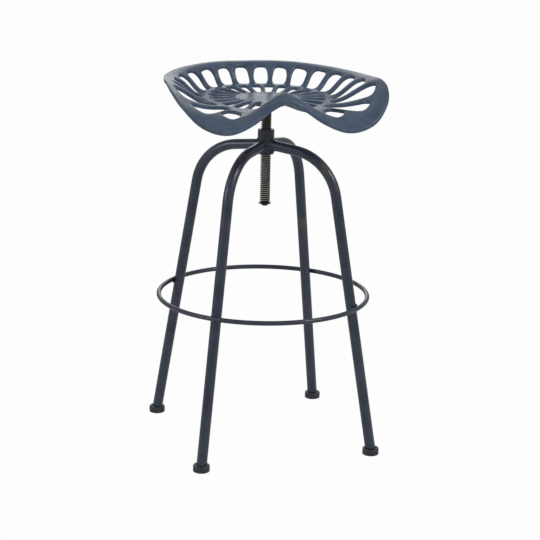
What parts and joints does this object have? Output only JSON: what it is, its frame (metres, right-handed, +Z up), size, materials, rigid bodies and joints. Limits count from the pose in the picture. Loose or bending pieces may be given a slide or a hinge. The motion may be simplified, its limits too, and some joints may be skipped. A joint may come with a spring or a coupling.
{
  "type": "tractor seat stool",
  "caption": "Tall swivel stool: slotted tractor-style cast seat on a screw spindle that winds up and down in a stand of bent tube legs with a ring footrest.",
  "frame": {"origin": "on the spindle's axis at floor level, at the middle of the footprint", "axes": "+Z up along the spindle; the seat faces -Y at rest, its low front and thigh dips to -Y and its raised back rim to +Y"},
  "size_m": [0.4202, 0.4202, 0.7294],
  "materials": {
    "leg_paint": "satin dark slate paint, faint rust",
    "cap_plastic": "moulded black, satin",
    "hub_paint": "satin black paint",
    "weld_paint": "weld bead under satin paint",
    "ring_paint": "satin navy paint, rubbed at the front",
    "screw_steel": "rolled thread, oiled and dusty",
    "fastener_black": "black oxide",
    "plate_paint": "satin black paint",
    "seat_casting": "blue-grey paint over a sand casting, worn at the edges"
  },
  "bodies": {
    "stand": {"leg_front_left": "leg_paint", "leg_front_right": "leg_paint", "leg_back_right": "leg_paint", "leg_back_left": "leg_paint", "foot_cap_front_left": "cap_plastic", "foot_cap_front_right": "cap_plastic", "foot_cap_back_right": "cap_plastic", "foot_cap_back_left": "cap_plastic", "hub": "hub_paint", "hub_welds": "weld_paint", "footrest_ring": "ring_paint", "ring_welds": "weld_paint"},
    "washer": {"stop_washer": "fastener_black"},
    "seat": {"spindle": "screw_steel", "stop_screw": "fastener_black", "mount_plate": "plate_paint", "spindle_weld": "plate_paint", "seat_bolts": "fastener_black", "lock_washers": "fastener_black", "seat_pan": "seat_casting"}
  },
  "joints": [
    {"name": "seat_rise", "type": "slide", "parent": "stand", "child": "washer", "axis": [0, 0, 1], "range_m": [-0.0431, 0.0951]},
    {"name": "seat_turn", "type": "hinge", "parent": "washer", "child": "seat", "pos_m": [0, 0, 0.476], "axis": [0, 0, 1], "range_deg": [-3870, 8550]}
  ],
  "couplings": [
    {"joint": "seat_rise", "follows": "seat_turn", "m_per_rad": 0.00063662}
  ]
}
